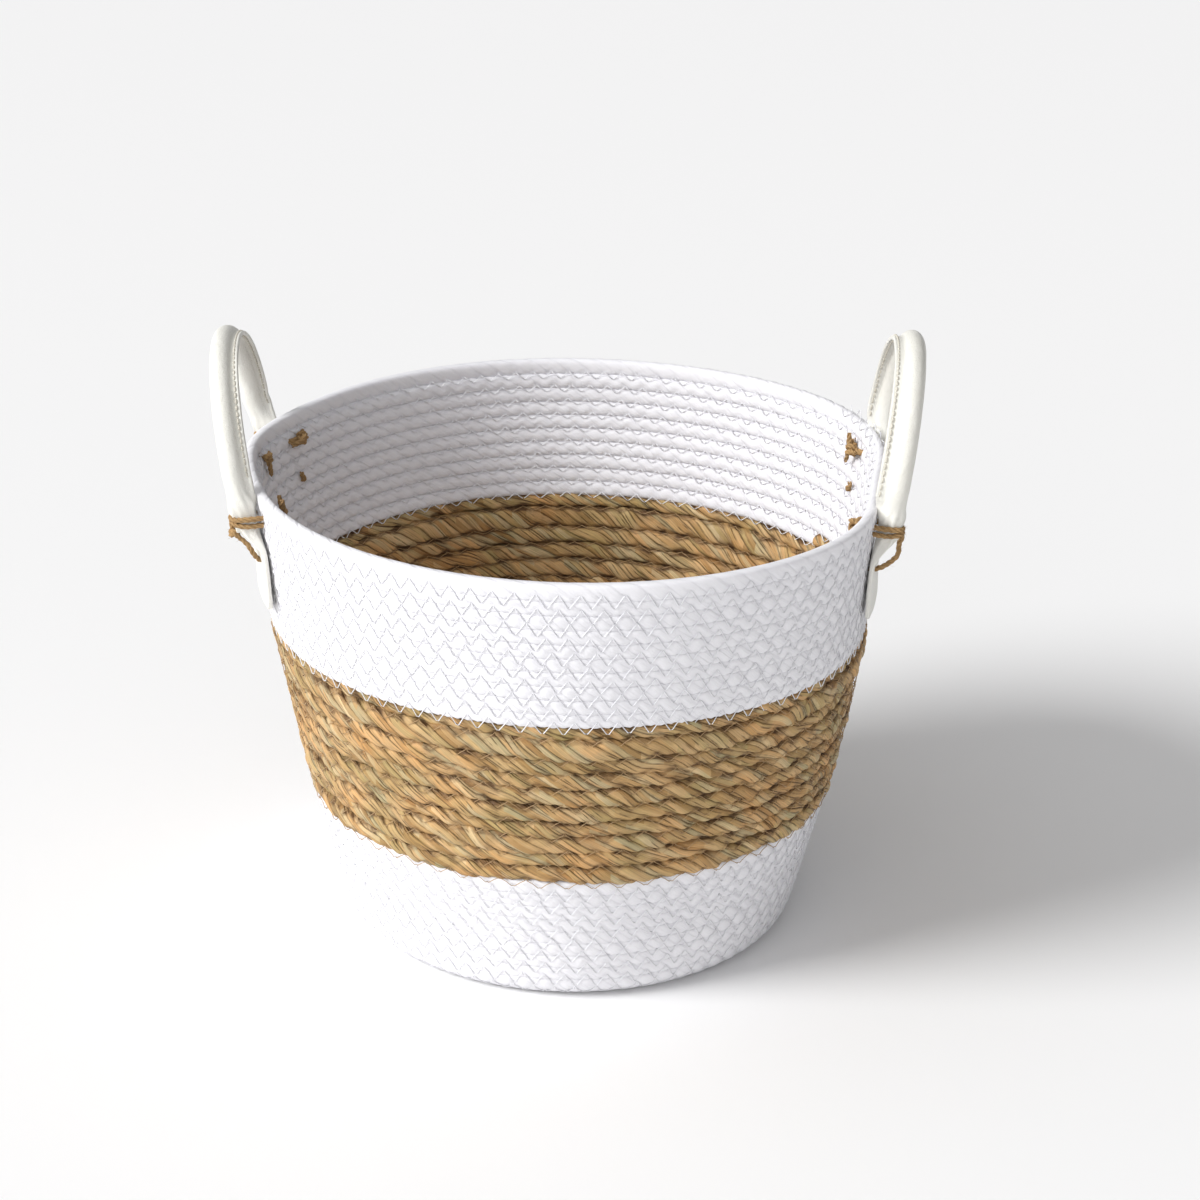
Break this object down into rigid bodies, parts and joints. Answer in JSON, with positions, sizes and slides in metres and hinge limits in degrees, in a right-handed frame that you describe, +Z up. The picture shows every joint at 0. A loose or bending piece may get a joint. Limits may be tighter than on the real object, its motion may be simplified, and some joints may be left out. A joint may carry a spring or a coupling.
{
  "type": "woven storage basket",
  "caption": "Round tapered basket sewn from coiled white and seagrass cord, with two leather loop handles tied on with twine.",
  "frame": {"origin": "centre of the underside, on the surface the basket stands on", "axes": "+Z up, +X through the right handle, -Y the front, so the two handles stand on the left and right"},
  "size_m": [0.3236, 0.297, 0.2856],
  "materials": {
    "white_paper_cord": "matt twisted paper cord",
    "seagrass_cord": "satin dried seagrass strands, twisted",
    "white_thread": "smooth polyester sewing thread",
    "brown_thread": "smooth polyester sewing thread",
    "handle_leather": "smooth ivory coated leather",
    "core_cord": "soft cotton filler cord",
    "jute_twine": "hairy two-ply jute"
  },
  "bodies": {
    "basket": {"base_mat": "white_paper_cord", "base_thread": "white_thread", "lower_band": "white_paper_cord", "lower_band_thread": "white_thread", "seagrass_band": "seagrass_cord", "seagrass_band_thread": "brown_thread", "upper_band": "white_paper_cord", "upper_band_thread": "white_thread", "rim_row": "white_paper_cord", "left_front_tab": "handle_leather", "left_front_lashing": "jute_twine", "left_front_stitch": "jute_twine", "left_front_knot": "jute_twine", "left_rear_tab": "handle_leather", "left_rear_lashing": "jute_twine", "left_rear_stitch": "jute_twine", "left_rear_knot": "jute_twine", "right_front_tab": "handle_leather", "right_front_lashing": "jute_twine", "right_front_stitch": "jute_twine", "right_front_knot": "jute_twine", "right_rear_tab": "handle_leather", "right_rear_lashing": "jute_twine", "right_rear_stitch": "jute_twine", "right_rear_knot": "jute_twine"},
    "left_handle": {"left_handle_cover": "handle_leather", "left_handle_core": "core_cord", "left_handle_seam": "white_thread"},
    "right_handle": {"right_handle_cover": "handle_leather", "right_handle_core": "core_cord", "right_handle_seam": "white_thread"}
  },
  "joints": [
    {"name": "left_handle_tilt", "type": "hinge", "parent": "basket", "child": "left_handle", "pos_m": [-0.14753, 0, 0.226], "axis": [0, 1, 0], "range_deg": [-75, 60]},
    {"name": "right_handle_tilt", "type": "hinge", "parent": "basket", "child": "right_handle", "pos_m": [0.14753, 0, 0.226], "axis": [0, -1, 0], "range_deg": [-75, 60]}
  ]
}
